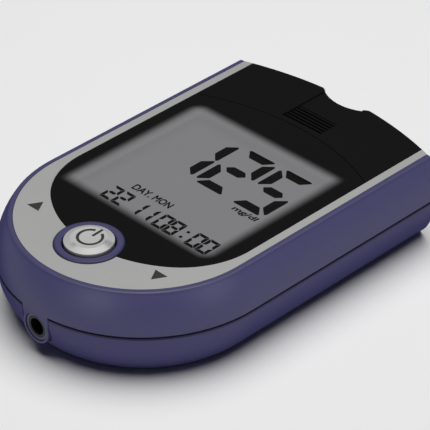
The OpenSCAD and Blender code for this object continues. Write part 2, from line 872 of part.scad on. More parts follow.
module power_button() {
    edge_z = button_top - button_bevel_h;
    dish_r = button_r - button_bevel;
    dish_ball = (dish_r * dish_r + dish_d * dish_d) / (2 * dish_d);
    color([0.78, 0.78, 0.76]) translate([0, button_y, 0]) rotate_extrude() difference() {
        union() {
            translate([0, flange_z]) square([collar_in + flange_w, flange_t]);
            translate([0, flange_z]) square([button_r, edge_z - flange_z]);
            polygon([
                [0, edge_z - cut], [button_r, edge_z - cut], [button_r, edge_z],
                [dish_r, button_top], [0, button_top]
            ]);
        }
        intersection() {
            translate([0, button_top - dish_d + dish_ball]) circle(r = dish_ball, $fn = 400);
            translate([0, button_top - 1]) square([dish_r, 2]);
        }
    }
}

module key_plunger(side) {
    color([0.2, 0.2, 0.2]) translate([side * key_x, key_y, flange_z]) {
        cylinder(r = key_r + key_gap + flange_w, h = flange_t);
        cylinder(r = key_r, h = mask_z - seam - flange_z);
    }
}

module up_key() {
    key_plunger(-1);
}

module down_key() {
    key_plunger(1);
}

switch_places = [[0, button_y], [-key_x, key_y], [key_x, key_y]];

module tact_switches() {
    color([0.15, 0.15, 0.16]) for (place = switch_places) translate([place[0], place[1], board_top])
        difference() {
            translate([-switch_w / 2, -switch_w / 2, 0]) cube([switch_w, switch_w, switch_h]);
            translate([0, 0, switch_h - stem_in - button_travel - stem_spare])
                cylinder(r = stem_r + stem_gap, h = stem_in + 1);
        }
}

module switch_stem(place) {
    color([0.85, 0.82, 0.75]) translate([place[0], place[1], switch_top - stem_in])
        cylinder(r = stem_r, h = flange_z - switch_top + stem_in);
}

module power_switch_stem() {
    switch_stem(switch_places[0]);
}

module up_switch_stem() {
    switch_stem(switch_places[1]);
}

module down_switch_stem() {
    switch_stem(switch_places[2]);
}

// ---- Display ----

module glass_plate(z0, z1, y1) {
    translate([-glass_w / 2, glass_y0, z0]) cube([glass_w, y1 - glass_y0, z1 - z0]);
}

module display_gasket() {
    grow = window_reveal - glass_gap;
    color([0.5, 0.5, 0.5]) slab(glass_top, mask_z) difference() {
        window_outline(grow);
        window_outline(grow - gasket_w);
    }
}

module front_polariser() {
    color([0.5, 0.5, 0.51]) glass_plate(glass_top - polariser_t, glass_top, glass_y1);
}

module front_glass() {
    color([0.6, 0.66, 0.64]) glass_plate(front_glass_z, front_glass_z + glass_t, glass_y1);
}

module rear_glass() {
    color([0.6, 0.66, 0.64]) glass_plate(rear_glass_z, front_glass_z, rear_glass_y1);
}

module reflector() {
    color([0.75, 0.76, 0.75]) glass_plate(shelf_top, rear_glass_z, glass_y1 - zebra_gap);
}

module display_frame() {
    grow = glass_gap + frame_wall;
    y0 = glass_y0 - grow;
    l = rear_glass_y1 + grow - y0;
    color([0.9, 0.9, 0.88]) difference() {
        translate([-glass_w / 2 - grow, y0, board_top])
            cube([glass_w + 2 * grow, l, front_glass_z - board_top]);
        for (span = [[shelf_top, front_glass_z + 1], [board_top - 1, shelf_top - frame_shelf]])
            translate([-glass_w / 2 - glass_gap, glass_y0 - glass_gap, span[0]])
                cube([glass_w + 2 * glass_gap, l - 2 * frame_wall, span[1] - span[0]]);
        translate([-zebra_l / 2 - glass_gap, zebra_y - glass_gap, board_top])
            cube([zebra_l + 2 * glass_gap, zebra_w + 2 * glass_gap, shelf_top - board_top + 1]);
    }
}

module zebra_strip() {
    color([0.8, 0.45, 0.5]) translate([-zebra_l / 2, zebra_y, board_top])
        cube([zebra_l, zebra_w, rear_glass_z - board_top]);
}

// ---- Board ----

module main_board() {
    color([0.1, 0.36, 0.2]) slab(board_z, board_top) difference() {
        plan(half_w - wall - board_gap, board_end);
        for (place = screw_places) translate(place) circle(r = screw_r + screw_gap);
    }
}

// Flat chip under the board with a row of leads on each side
module main_chip() {
    lead_l = 0.8;
    lead_t = 0.5;
    pitch = (chip_w - 1) / lead_count;
    color([0.1, 0.1, 0.1]) translate([main_chip_place[0], main_chip_place[1], board_z - chip_t]) {
        translate([-chip_w / 2, -chip_w / 2, 0]) cube([chip_w, chip_w, chip_t]);
        for (turn = [0 : 90 : 270], i = [0 : lead_count - 1]) rotate([0, 0, turn])
            translate([chip_w / 2 - cut, (i + 0.25 - lead_count / 2) * pitch, chip_t - lead_t])
                cube([lead_l + cut, pitch / 2, lead_t]);
    }
}

// Small chip beside the strip connector, with leads on two sides
module analog_chip() {
    w = 4;
    l = 5;
    lead_l = 0.6;
    lead_w = 0.4;
    leads = 4;
    color([0.1, 0.1, 0.1]) translate([analog_chip_place[0], analog_chip_place[1], board_top]) {
        translate([-w / 2, -l / 2, 0]) cube([w, l, chip_t]);
        for (i = [0 : leads - 1]) translate([-w / 2 - lead_l, (i + 0.5) * l / leads - l / 2 - lead_w / 2, 0])
            cube([w + 2 * lead_l, lead_w, lead_w]);
    }
}

module crystal_can() {
    can_r = 1;
    can_l = 6;
    color([0.75, 0.75, 0.76]) translate([crystal_place[0], crystal_place[1], board_z - can_r])
        rotate([-90, 0, 0]) cylinder(r = can_r, h = can_l);
}

module chip_capacitors() {
    w = 0.9;
    l = 1.8;
    h = 0.6;
    count = 5;
    pitch = 2.4;
    color([0.7, 0.6, 0.45]) for (i = [0 : count - 1])
        translate([capacitor_place[0] + i * pitch, capacitor_place[1], board_z - h]) cube([w, l, h]);
}

module buzzer() {
    port_r = 1;
    port_d = 0.6;
    color([0.13, 0.13, 0.13]) translate([buzzer_place[0], buzzer_place[1], board_z - buzzer_h])
        difference() {
            cylinder(r = buzzer_r, h = buzzer_h);
            translate([0, 0, -1]) cylinder(r = port_r, h = port_d + 1);
        }
}

module strip_connector() {
    color([0.93, 0.93, 0.9]) difference() {
        translate([-connector_w / 2, connector_y, board_top]) cube([connector_w, connector_l, connector_h]);
        translate([-slot_w / 2, connector_y + connector_l - slot_l, strip_z])
            cube([slot_w, slot_l + 1, slot_h]);
        for (i = [0 : contact_count - 1])
            translate([contact_x(i) - contact_w / 2 - contact_gap, connector_y - 1, contact_z - contact_gap])
                cube([contact_w + 2 * contact_gap, connector_l - 1, contact_t + 3 * contact_gap]);
    }
}

function contact_x(i) = (i - (contact_count - 1) / 2) * slot_w / contact_count;

// Springs that press on the strip and end on the board behind the connector
module strip_contacts() {
    foot_l = 0.8;
    tip_r = 0.3;
    tip_in = 2.8;
    tail_y = connector_y - contact_gap;
    heel_y = tail_y - contact_t;
    tip_y = connector_y + connector_l - tip_in;
    color([0.85, 0.7, 0.35]) for (i = [0 : contact_count - 1])
        translate([contact_x(i) - contact_w / 2, 0, 0]) {
            translate([0, heel_y, contact_z]) cube([contact_w, tip_y - heel_y, contact_t]);
            translate([0, heel_y, board_top]) cube([contact_w, contact_t, contact_z - board_top + cut]);
            translate([0, tail_y - foot_l, board_top]) cube([contact_w, foot_l, contact_t]);
            translate([0, tip_y, contact_z - contact_gap]) rotate([0, 90, 0])
                cylinder(r = tip_r, h = contact_w);
        }
}

module data_jack() {
    color([0.09, 0.09, 0.1]) difference() {
        union() {
            translate([0, jack_mouth_y, jack_z]) rotate([-90, 0, 0])
                cylinder(r = jack_neck_r, h = jack_neck_l + cut);
            translate([-jack_w / 2, jack_body_y, jack_z - jack_w / 2]) cube([jack_w, jack_l, jack_w]);
        }
        translate([0, jack_mouth_y - 1, jack_z]) rotate([-90, 0, 0])
            cylinder(r = jack_bore_r, h = jack_bore_l + 1);
    }
}

// Solder legs on both sides of the jack, bent flat under the board
module jack_contacts() {
    leg_t = 0.3;
    leg_w = 1;
    leg_h = jack_w / 2;
    leg_pitch = 4;
    foot_l = 1.4;
    color([0.8, 0.8, 0.78]) for (turn = [0, 1], i = [0 : 2]) mirror([turn, 0, 0])
        translate([jack_w / 2, jack_body_y + (i + 0.5) * leg_pitch, board_z]) {
            translate([0, 0, -leg_h]) cube([leg_t, leg_w, leg_h]);
            translate([0, 0, -leg_t]) cube([foot_l, leg_w, leg_t]);
        }
}

// ---- Battery and screws ----

module coin_cells() {
    step_h = 0.4;
    step_w = 1.2;
    color([0.8, 0.8, 0.8]) for (side = [-1, 1]) translate([side * cell_x, cell_y, cell_z]) {
        cylinder(r = cell_r, h = cell_t - step_h);
        cylinder(r = cell_r - step_w, h = cell_t);
    }
}

// Bent strips of sheet metal, drawn as a thin profile and carried across their width
module sheet_strips() {
    for (side = [-1, 1]) translate([side * cell_x - strip_metal_w / 2, 0, 0])
        rotate([90, 0, 90]) linear_extrude(height = strip_metal_w) children();
}

module battery_springs() {
    t = strip_metal_t;
    low = cell_z + cell_t;
    root_y = cell_y - cell_r / 2;
    bend_y = cell_y + 1;
    tip_y = cell_y + cell_r / 2;
    color([0.82, 0.8, 0.72]) sheet_strips() {
        translate([root_y, pocket_h - t]) square([bend_y - root_y + t, t]);
        polygon([
            [bend_y, pocket_h - t], [bend_y + t, pocket_h], [tip_y, low + t],
            [tip_y + spring_tip, low + t], [tip_y + spring_tip, low], [tip_y - t, low]
        ]);
    }
}

module battery_clips() {
    t = strip_metal_t;
    wall_y = cell_y - pocket_y;
    rim_y = cell_y - cell_r - contact_gap / 2;
    mid_z = cell_z + cell_t / 2;
    top_z = mid_z + clip_up;
    low_z = mid_z - clip_down;
    color([0.82, 0.8, 0.72]) sheet_strips() {
        translate([wall_y, top_z]) square([t, pocket_h - top_z]);
        polygon([
            [wall_y, top_z + cut], [wall_y + t, top_z + cut], [rim_y, mid_z], [rim_y, low_z],
            [rim_y - t, low_z], [rim_y - t, mid_z - t]
        ]);
    }
}

module battery_door() {
    w = 2 * (pocket_x - door_gap);
    l = 2 * (pocket_y - door_gap);
    y0 = cell_y - l / 2;
    rib_l = 1.4 * cell_r;
    rib_t = 1;
    hook_t = 1.2;
    tongue_w = latch_w - 2 * latch_slit;
    groove_w = 0.6;
    color([0.24, 0.23, 0.37]) difference() {
        union() {
            translate([-w / 2, y0, door_in]) cube([w, l, door_top - door_in]);
            for (side = [-1, 1]) {
                translate([side * tab_x - tab_w / 2, tab_y - hook_t, door_top - cut])
                    cube([tab_w, hook_t, tab_z + tab_t - door_top + cut]);
                translate([side * tab_x - tab_w / 2, tab_y - cut, tab_z]) cube([tab_w, tab_l + cut, tab_t]);
                for (turn = [0, 90]) translate([side * cell_x, cell_y, door_top - cut]) rotate([0, 0, turn])
                    translate([-rib_t / 2, -rib_l / 2, 0]) cube([rib_t, rib_l, door_rib_h + cut]);
            }
            translate([-tongue_w / 2, y0 + latch_in, door_top - cut])
                cube([tongue_w, latch_t, latch_h - door_top + cut]);
        }
        for (i = [0 : 2]) translate([-tongue_w / 2, y0 + latch_l + 2 * groove_w * (i + 0.5), door_in - cut])
            cube([tongue_w, groove_w, groove_w / 2]);
        for (side = [-1, 1]) translate([side * (tongue_w + latch_slit) / 2, y0 + latch_l / 2 - cut, 0])
            translate([-latch_slit / 2, -latch_l / 2, -1]) cube([latch_slit, latch_l, door_top + 2]);
    }
}

module case_screws() {
    point_l = 1;
    point_r = 0.2;
    drive_w = 0.5;
    drive_l = 2.4;
    drive_d = 0.8;
    color([0.7, 0.7, 0.7]) for (place = screw_places) translate([place[0], place[1], seat_z]) difference() {
        union() {
            translate([0, 0, -head_t]) cylinder(r = head_r, h = head_t);
            cylinder(r = screw_r, h = screw_l - point_l);
            translate([0, 0, screw_l - point_l]) cylinder(r1 = screw_r, r2 = point_r, h = point_l);
        }
        for (turn = [0, 90]) rotate([0, 0, turn])
            translate([-drive_l / 2, -drive_w / 2, -head_t - cut]) cube([drive_l, drive_w, drive_d]);
    }
}

top_shell();
bottom_shell();
trim_panel();
display_lens();
lens_mask();
port_cover();
power_button();
up_key();
down_key();
power_switch_stem();
up_switch_stem();
down_switch_stem();
tact_switches();
display_gasket();
front_polariser();
front_glass();
rear_glass();
reflector();
display_frame();
zebra_strip();
main_board();
main_chip();
analog_chip();
crystal_can();
chip_capacitors();
buzzer();
strip_connector();
strip_contacts();
data_jack();
jack_contacts();
coin_cells();
battery_springs();
battery_clips();
battery_door();
case_screws();
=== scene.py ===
import math

import bmesh
import bpy
from mathutils import Matrix, Vector


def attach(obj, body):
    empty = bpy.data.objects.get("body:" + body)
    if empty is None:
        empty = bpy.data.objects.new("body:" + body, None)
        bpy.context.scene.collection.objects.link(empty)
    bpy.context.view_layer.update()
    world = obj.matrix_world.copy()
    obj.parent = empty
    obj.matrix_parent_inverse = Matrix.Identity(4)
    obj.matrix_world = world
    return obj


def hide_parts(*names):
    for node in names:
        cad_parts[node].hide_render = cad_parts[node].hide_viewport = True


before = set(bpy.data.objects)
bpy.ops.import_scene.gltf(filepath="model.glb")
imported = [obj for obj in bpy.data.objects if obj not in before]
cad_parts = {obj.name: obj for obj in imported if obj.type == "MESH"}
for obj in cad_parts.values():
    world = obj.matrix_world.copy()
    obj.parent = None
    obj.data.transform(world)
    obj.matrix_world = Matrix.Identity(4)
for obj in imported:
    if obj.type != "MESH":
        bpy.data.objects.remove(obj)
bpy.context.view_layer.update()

# ---- Blue housing ----
# Two shells moulded in blue-violet plastic with a fine spark-eroded grain. The upper one carries the collar
# round the power button and the tongue round the jack, the lower one the base; four screws from below hold
# them together.
MM = 0.001


class Value:
    """A shader socket that takes part in plain arithmetic."""

    def __init__(self, finish, socket):
        self.finish = finish
        self.socket = socket

    def math(self, operation, *values):
        return self.finish.add("ShaderNodeMath", {"operation": operation}, dict(enumerate(values)))

    def __add__(self, other):
        return self.math("ADD", self, other)

    def __sub__(self, other):
        return self.math("SUBTRACT", self, other)

    def __rsub__(self, other):
        return self.math("SUBTRACT", other, self)

    def __mul__(self, other):
        return self.math("MULTIPLY", self, other)

    def __truediv__(self, other):
        return self.math("DIVIDE", self, other)

    __radd__ = __add__

    def low(self, other):
        return self.math("MINIMUM", self, other)

    def high(self, other):
        return self.math("MAXIMUM", self, other)

    def root(self):
        return self.math("SQRT", self.high(0))

    def away(self):
        """Distance from nought."""
        return self.math("ABSOLUTE", self)

    def ramp(self, start, end):
        """Goes smoothly from 0 at start to 1 at end."""
        ends = {"Value": self, "From Min": start, "From Max": end}
        return self.finish.add("ShaderNodeMapRange", {"interpolation_type": "SMOOTHSTEP"}, ends)


class Finish:
    """A material, with the nodes that make it."""

    sockets = {
        "colour": "Base Color", "metal": "Metallic", "rough": "Roughness", "alpha": "Alpha",
        "normal": "Normal", "shine": "Specular IOR Level", "glow": "Emission Color",
        "glow_power": "Emission Strength",
    }

    def __init__(self, name):
        self.material = bpy.data.materials.new(name)
        self.material.use_nodes = True
        self.tree = self.material.node_tree
        self.tree.nodes.clear()
        self.out = self.tree.nodes.new("ShaderNodeOutputMaterial")

    def add(self, kind, settings=None, values=None, output=0):
        """Makes a node: its settings come first, then what its sockets hold or are linked to."""
        node = self.tree.nodes.new(kind)
        for name, setting in (settings or {}).items():
            setattr(node, name, setting)
        for name, value in (values or {}).items():
            socket = node.inputs[name]
            if isinstance(value, Value):
                self.tree.links.new(value.socket, socket)
            elif socket.type == "RGBA":
                socket.default_value = (*value, 1)
            else:
                socket.default_value = value
        return Value(self, node.outputs[output])

    def place(self):
        return self.add("ShaderNodeTexCoord", output="Object")

    def axes(self):
        """The place on the object, as three numbers in millimetres."""
        node = self.add("ShaderNodeSeparateXYZ", values={0: self.place()}).socket.node
        return [Value(self, socket) * (1 / MM) for socket in node.outputs]

    def noise(self, size, detail=2.0, rough=0.5, stretch=(1, 1, 1)):
        """Clouds or grain of a size in millimetres."""
        scale = [share / (size * MM) for share in stretch]
        at = self.add("ShaderNodeMapping", values={"Vector": self.place(), "Scale": scale})
        return self.add(
            "ShaderNodeTexNoise", values={"Vector": at, "Scale": 1.0, "Detail": detail, "Roughness": rough}
        )

    def mix(self, share, first, second):
        return self.add("ShaderNodeMix", {"data_type": "RGBA"}, {0: share, 6: first, 7: second}, output=2)

    def bump(self, height, depth):
        """Relief of a depth in millimetres."""
        return self.add("ShaderNodeBump", values={"Height": height, "Distance": depth * MM})

    def shader(self, **values):
        held = {self.sockets[name]: value for name, value in values.items()}
        return self.add("ShaderNodeBsdfPrincipled", values=held)

    def surface(self, shader):
        self.tree.links.new(shader.socket, self.out.inputs["Surface"])

    def on(self, *names):
        for name in names:
            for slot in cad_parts[name].material_slots:
                slot.material = self.material


def tint(colour, share):
    return tuple(channel * share for channel in colour)


def reach(across, along):
    """Distance over two legs at right angles."""
    return (across * across + along * along).root()


def moulded(name, colour, rough, grain_size=0.16, depth=0.010, shine=0.25, painted_shade=None, shade_share=0.12):
    """Moulded plastic: a faint cloudiness from the flow, and the fine grain of the tool, which takes the gloss
    away where the surface turns off."""
    plastic = Finish(name)
    flow = plastic.noise(14, 3)
    grain = plastic.noise(grain_size, 2, 0.6)
    base = plastic.mix(flow, tint(colour, 0.95), tint(colour, 1.05))
    tone = plastic.mix(grain * 0.4, base, tint(colour, 1.12))
    # Painted shade: where the given mask is 1, the colour darkens to the given share of itself.
    if painted_shade:
        tone = plastic.mix(painted_shade(plastic), tone, tint(colour, shade_share))
    relief = plastic.bump(grain, depth)
    satin = plastic.shader(
        colour=tone, rough=rough + (grain - 0.5) * 0.12 + (flow - 0.5) * 0.06, shine=shine, normal=relief
    )
    dull = plastic.shader(colour=tone, rough=0.8, shine=0.0, normal=relief)
    slope = plastic.add("ShaderNodeLayerWeight", values={"Blend": 0.5}, output="Facing").ramp(0.35, 0.75)
    plastic.surface(plastic.add("ShaderNodeMixShader", values={0: slope, 1: satin, 2: dull}))
    return plastic


PARTING = 10.4
TOP = 19.1
TONGUE_HALF_WIDTH = 3.5
TONGUE_BACK = -37.5
BUTTON_Y = -28.9
COLLAR_R = 7.2
COLLAR_CREST_R = 6.4


def seam_rim_and_collar_shade(plastic):
    """Painted shade: dark along the parting line, except across the tongue at the nose, and a little dark on
    the top edge and the top of the collar, most on the collar's outer ring."""
    x, y, z = plastic.axes()
    beside = x.away().ramp(TONGUE_HALF_WIDTH - 0.1, TONGUE_HALF_WIDTH + 0.1)
    behind = y.ramp(TONGUE_BACK - 0.5, TONGUE_BACK + 0.5)
    line = (1 - (z - PARTING).away().ramp(0.22, 0.56)) * beside.high(behind)
    out = reach(x, y - BUTTON_Y)
    collar = 1 - out.ramp(COLLAR_R - 0.2, COLLAR_R + 0.2)
    crest = collar * out.ramp(COLLAR_CREST_R - 0.2, COLLAR_CREST_R + 0.2)
    return line.high(z.ramp(TOP - 0.8, TOP - 0.1) * (0.34 + collar * 0.04 + crest * 0.34))


BLUE = (0.0595, 0.0575, 0.146)
upper_blue = moulded("blue_shell", BLUE, 0.43, shine=0.30, painted_shade=seam_rim_and_collar_shade, shade_share=0.34)
upper_blue.on("top_shell")
# Painted light: the lower shell and battery door take the upper shell's blue made 3 per cent lighter, against
# the shade on the downward-facing lower flank.
lower_blue = moulded("blue_base", tint(BLUE, 1.03), 0.48, shine=0.15, painted_shade=seam_rim_and_collar_shade, shade_share=0.34)
lower_blue.on("bottom_shell", "battery_door")

HALF_WIDTH = 29.0
NOSE_Y = -14.4
PLAIN_LEAN = 3.2
FULL_LEAN = 2.72
ROUNDING_DEPTH = 0.35


def flank(height, lean):
    """Half width of an arc that stands upright at the parting line and leans in by lean at the top."""
    radius = (lean ** 2 + (TOP - PARTING) ** 2) / (2 * lean)
    return HALF_WIDTH - radius + math.sqrt(radius ** 2 - (height - PARTING) ** 2)


def show(name, mesh, finish, body):
    """Makes a finished object of a mesh, which rides on a body."""
    mesh.materials.clear()
    mesh.materials.append(finish.material)
    item = bpy.data.objects.new(name, mesh)
    bpy.context.scene.collection.objects.link(item)
    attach(item, body)
    return item


# The real shell has a fuller shoulder than the plain solid, so the flank is moved out to an arc that leans
# in less.
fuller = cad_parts["top_shell"].data.copy()
fuller.name = "upper_housing"
for vertex in fuller.vertices:
    x, y, z = vertex.co / MM
    height = min(z, TOP)
    ahead = min(y - NOSE_Y, 0)
    out = math.hypot(x, ahead)
    if z > PARTING + 0.1 and out > flank(height, PLAIN_LEAN) - ROUNDING_DEPTH:
        push = 1 + (flank(height, FULL_LEAN) - flank(height, PLAIN_LEAN)) / out
        vertex.co.x = x * push * MM
        vertex.co.y = (y - ahead + ahead * push) * MM
housing = show("upper_housing", fuller, upper_blue, "case")
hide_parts("top_shell")


# ---- Case screws ----
# Four self-tapping screws of zinc-plated steel, sunk in wells under the base. The plating is slightly
# mottled and the heads keep fine marks from turning.
def plated(name, colour, rough, mark_size=0.35, stretch=(1, 1, 1), depth=0.004):
    """Plated or tinned metal: mottled plating and fine working marks."""
    steel = Finish(name)
    mottle = steel.noise(1.8, 3)
    marks = steel.noise(mark_size, 2, 0.6, stretch)
    steel.surface(steel.shader(
        colour=steel.mix(mottle, tint(colour, 0.85), tint(colour, 1.08)),
        metal=1.0,
        rough=rough + (mottle - 0.5) * 0.18 + (marks - 0.5) * 0.10,
        normal=steel.bump(marks, depth),
    ))
    return steel


plated("screw_steel", (0.50, 0.50, 0.50), 0.36).on("case_screws")

# ---- Coin cells and their contacts ----
# Two 20 mm cells with nickel-plated steel cups lie in the lower shell. Springs and clips bent from plated
# strip carry the current; the strip keeps the lines of its rolling.
plated("cell_steel", (0.56, 0.56, 0.55), 0.30, 0.25, (0.15, 1, 1)).on("coin_cells")
plated("contact_steel", (0.60, 0.58, 0.51), 0.33, 0.3, (1, 0.1, 1)).on("battery_springs", "battery_clips")

# ---- Circuit board ----
# Glass fibre under a green solder mask. The tracks stand a little proud below the mask and show paler, and
# the weave of the glass shows between them.
LANE_PITCH = 5.2
board = Finish("board_green")
lanes = board.add("ShaderNodeTexWave", {"bands_direction": "X", "wave_profile": "SIN"}, {
    "Vector": board.place(), "Scale": 1 / (LANE_PITCH * MM), "Distortion": 6.0, "Detail": 1.0,
    "Detail Scale": 0.8,
}, output="Fac")
track = lanes.ramp(0.62, 0.70)
weave = board.noise(0.5, 1, 0.5, (1, 0.3, 1)) * 0.5 + board.noise(0.5, 1, 0.5, (0.3, 1, 1)) * 0.5
mask = board.mix(weave, (0.012, 0.085, 0.034), (0.018, 0.115, 0.048))
board.surface(board.shader(
    colour=board.mix(track, mask, (0.035, 0.20, 0.085)),
    rough=0.28 + weave * 0.12,
    shine=0.4,
    normal=board.bump(track + weave * 0.3, 0.02),
))
board.on("main_board")

# ---- Parts on the board ----
# Two chips in black moulding compound, tan ceramic capacitors, the crystal in its tinned can, and the
# buzzer and the three switches in dark plastic with ivory stems. All are soldered to the board.
moulded("chip_black", (0.015, 0.015, 0.016), 0.55, 0.08, 0.006).on("main_chip", "analog_chip")
moulded("capacitor_tan", (0.38, 0.27, 0.15), 0.42, 0.06, 0.004).on("chip_capacitors")
moulded("dark_plastic", (0.030, 0.030, 0.031), 0.45, 0.12).on("tact_switches", "buzzer", "up_key", "down_key")
ivory = moulded("stem_plastic", (0.60, 0.57, 0.48), 0.40, 0.12)
ivory.on("power_switch_stem", "up_switch_stem", "down_switch_stem")

# ---- Data jack ----
# A black moulded sleeve that fills the opening in the nose, with a smooth rim and tinned spring contacts
# inside. It is soldered to the board and held in the tongue of the upper shell.
JACK_Z = 6.8
JACK_FACE = -42.85
JACK_LIP_R = 2.31
JACK_RIM_R = 2.03
jack = Finish("jack_black")
x, y, z = jack.axes()
grain = jack.noise(0.1, 2)
radius = reach(x, z - JACK_Z)
# Painted shade: the front face is painted in rings, a pale blue-grey lip outside and a grey ring round the
# bore, with the sleeve's black between them standing for the shade in a recess.
mouth = 1 - y.ramp(JACK_FACE, JACK_FACE + 0.25)
lip = radius.ramp(JACK_LIP_R - 0.05, JACK_LIP_R + 0.05) * mouth
inner = (1 - radius.ramp(JACK_RIM_R - 0.05, JACK_RIM_R + 0.05)) * mouth
sleeve = jack.mix(inner, (0.006, 0.006, 0.008), (0.030, 0.031, 0.032))
jack.surface(jack.shader(
    colour=jack.mix(lip, sleeve, (0.090, 0.088, 0.135)),
    rough=0.36 + grain * 0.1,
    shine=0.2,
    normal=jack.bump(grain, 0.005),
))
jack.on("data_jack")
plated("tinned_metal", (0.60, 0.60, 0.59), 0.38).on("jack_contacts", "crystal_can")

# ---- Strip connector ----
# A white moulded block at the strip end, with gold-plated spring contacts pressed into it. The test strip
# is pushed in between them.
moulded("white_plastic", (0.74, 0.74, 0.71), 0.42, 0.14).on("strip_connector", "display_frame")
plated("contact_gold", (0.76, 0.54, 0.21), 0.27, 0.2, (1, 0.1, 1), 0.002).on("strip_contacts")

# ---- Display ----
# Two thin glasses with liquid crystal between them, in front of a matt silver film. A grey film covers the
# front, a striped rubber strip joins the glass to the board, and a foam ring fills the space up to the
# lens.
DISPLAY_GREY = (0.208, 0.208, 0.215)
film = Finish("display_face")
haze = film.noise(0.12, 2)
cloud = film.noise(18, 2)
# Painted light: the film glows with nearly all of its grey and keeps little colour of its own for the lamps, so
# it looks evenly lit and the walls of the window cast no shade on it.
film.surface(film.shader(
    colour=film.mix(cloud, tint(DISPLAY_GREY, 0.07), tint(DISPLAY_GREY, 0.08)),
    rough=0.62 + haze * 0.1,
    shine=0.02,
    glow=film.mix(cloud, tint(DISPLAY_GREY, 0.985), tint(DISPLAY_GREY, 1.015)),
    glow_power=0.95,
    normal=film.bump(haze, 0.002),
))
film.on("front_polariser")

glass = Finish("display_glass")
wave = glass.noise(9, 2)
glass.surface(glass.shader(
    colour=glass.mix(wave, (0.48, 0.56, 0.53), (0.52, 0.60, 0.57)),
    rough=0.04 + wave * 0.03,
    alpha=0.35,
    normal=glass.bump(wave, 0.002),
))
glass.on("front_glass", "rear_glass")

plated("reflector_film", (0.62, 0.62, 0.62), 0.45, 0.1, depth=0.003).on("reflector")

ZEBRA_PITCH = 1.6
zebra = Finish("zebra_rubber")
bands = zebra.add("ShaderNodeTexWave", {"bands_direction": "X", "wave_profile": "TRI"}, {
    "Vector": zebra.place(), "Scale": 1 / (ZEBRA_PITCH * MM),
}, output="Fac")
layer = bands.ramp(0.45, 0.55)
dust = zebra.noise(0.3, 2)
zebra.surface(zebra.shader(
    colour=zebra.mix(layer, (0.55, 0.20, 0.24), (0.03, 0.03, 0.03)),
    rough=0.6 + dust * 0.15,
    normal=zebra.bump(layer + dust * 0.4, 0.01),
))
zebra.on("zebra_strip")

foam = Finish("gasket_foam")
cells = foam.noise(0.15, 2, 0.7)
# Painted light: the foam ring glows with the display's grey, so the walls of the opening seen through the
# window look as bright as the film.
foam.surface(foam.shader(
    colour=foam.mix(cells, tint(DISPLAY_GREY, 0.11), tint(DISPLAY_GREY, 0.14)),
    rough=0.85,
    shine=0.02,
    glow=foam.mix(cells, tint(DISPLAY_GREY, 0.97), tint(DISPLAY_GREY, 1.03)),
    glow_power=1.0,
    normal=foam.bump(cells, 0.02),
))
foam.on("display_gasket")

# ---- Dark segments of the display ----
# The liquid crystal turns dark where the clear electrodes lie: seven-segment figures and three fixed
# labels. They are modelled as a skin on the front film.
FILM_TOP = 16.25
SKIN = 0.02


def millimetre(*place):
    return Vector(place) * MM


def piece(name, work, finish, body):
    """Turns a bmesh into a finished object that rides on a body."""
    bmesh.ops.recalc_face_normals(work, faces=work.faces[:])
    mesh = bpy.data.meshes.new(name)
    work.to_mesh(mesh)
    work.free()
    show(name, mesh, finish, body)


def plate(work, corners, base, rounding):
    """A skin with rounded corners, standing on the level base."""
    made = set(work.faces)
    face = work.faces.new([work.verts.new(millimetre(x, y, base)) for x, y in corners])
    bmesh.ops.bevel(
        work, geom=face.verts[:], affect="VERTICES", offset=rounding * MM, segments=2, profile=0.5,
        material=-1
    )
    face = (set(work.faces) - made).pop()
    top = bmesh.ops.extrude_face_region(work, geom=[face])["geom"]
    bmesh.ops.translate(
        work, verts=[v for v in top if isinstance(v, bmesh.types.BMVert)], vec=millimetre(0, 0, SKIN)
    )


def segments(w, h, s, k):
    """Corners of the seven segments of a figure that is w wide, h high and s in stroke, by their usual letters.
    The gaps between them are widest when k is 1."""
    mid = h / 2
    top = [
        ((0.10 + 0.54 * k) * s, h),
        (w - (0.10 + 0.50 * k) * s, h),
        (w - (0.04 + 0.44 * k) * s, h - 0.14 * s),
        (w - (1 + 0.18 * k) * s, h - s),
        ((1 + 0.18 * k) * s, h - s),
        ((0.04 + 0.44 * k) * s, h - 0.14 * s),
    ]
    right = [
        (w - 0.17 * s, mid + 0.03 * s),
        (w, mid + 0.20 * s),
        (w, h - 0.60 * k * s),
        (w - 0.17 * s, h - (0.17 + 0.26 * k) * s),
        (w - s, h - (1 + 0.18 * k) * s),
        (w - s, mid + (0.5 + 0.37 * k) * s),
    ]
    bar = [
        ((0.60 + 0.23 * k) * s, mid),
        ((1.11 + 0.23 * k) * s, mid + 0.51 * s),
        (w - (1.11 + 0.20 * k) * s, mid + 0.51 * s),
        (w - (0.60 + 0.23 * k) * s, mid),
        (w - (1.11 + 0.20 * k) * s, mid - 0.51 * s),
        ((1.11 + 0.23 * k) * s, mid - 0.51 * s),
    ]

    def down(corners):
        return [(x, h - y) for x, y in corners]

    def left(corners):
        return [(w - x, y) for x, y in corners]

    return {
        "a": top, "b": right, "c": down(right), "d": down(top), "e": left(down(right)), "f": left(right),
        "g": bar,
    }


FIGURES = {"0": "abcdef", "1": "bc", "2": "abged", "5": "afgcd", "8": "abcdefg"}
BIG = {"w": 9.05, "h": 15.7, "s": 2.27, "k": 1.0}
BIG_Y = 3.10
SMALL = {"w": 2.86, "h": 4.75, "s": 0.74, "k": 0.45}
SMALL_Y = -13.6
DOT = 0.68
DOT_X = 7.94


def figure(work, digit, x0, y0, form, rounding):
    shapes = segments(**form)
    for letter in FIGURES[digit]:
        plate(work, [(x0 + x, y0 + y) for x, y in shapes[letter]], FILM_TOP, rounding)


ink = Finish("segment_ink")
mottle = ink.noise(0.2, 2)
ink.surface(ink.shader(
    colour=ink.mix(mottle, (0.0060, 0.0060, 0.0064), (0.0080, 0.0080, 0.0084)),
    rough=0.6 + mottle * 0.1,
    shine=0.02,
    normal=ink.bump(mottle, 0.001),
))

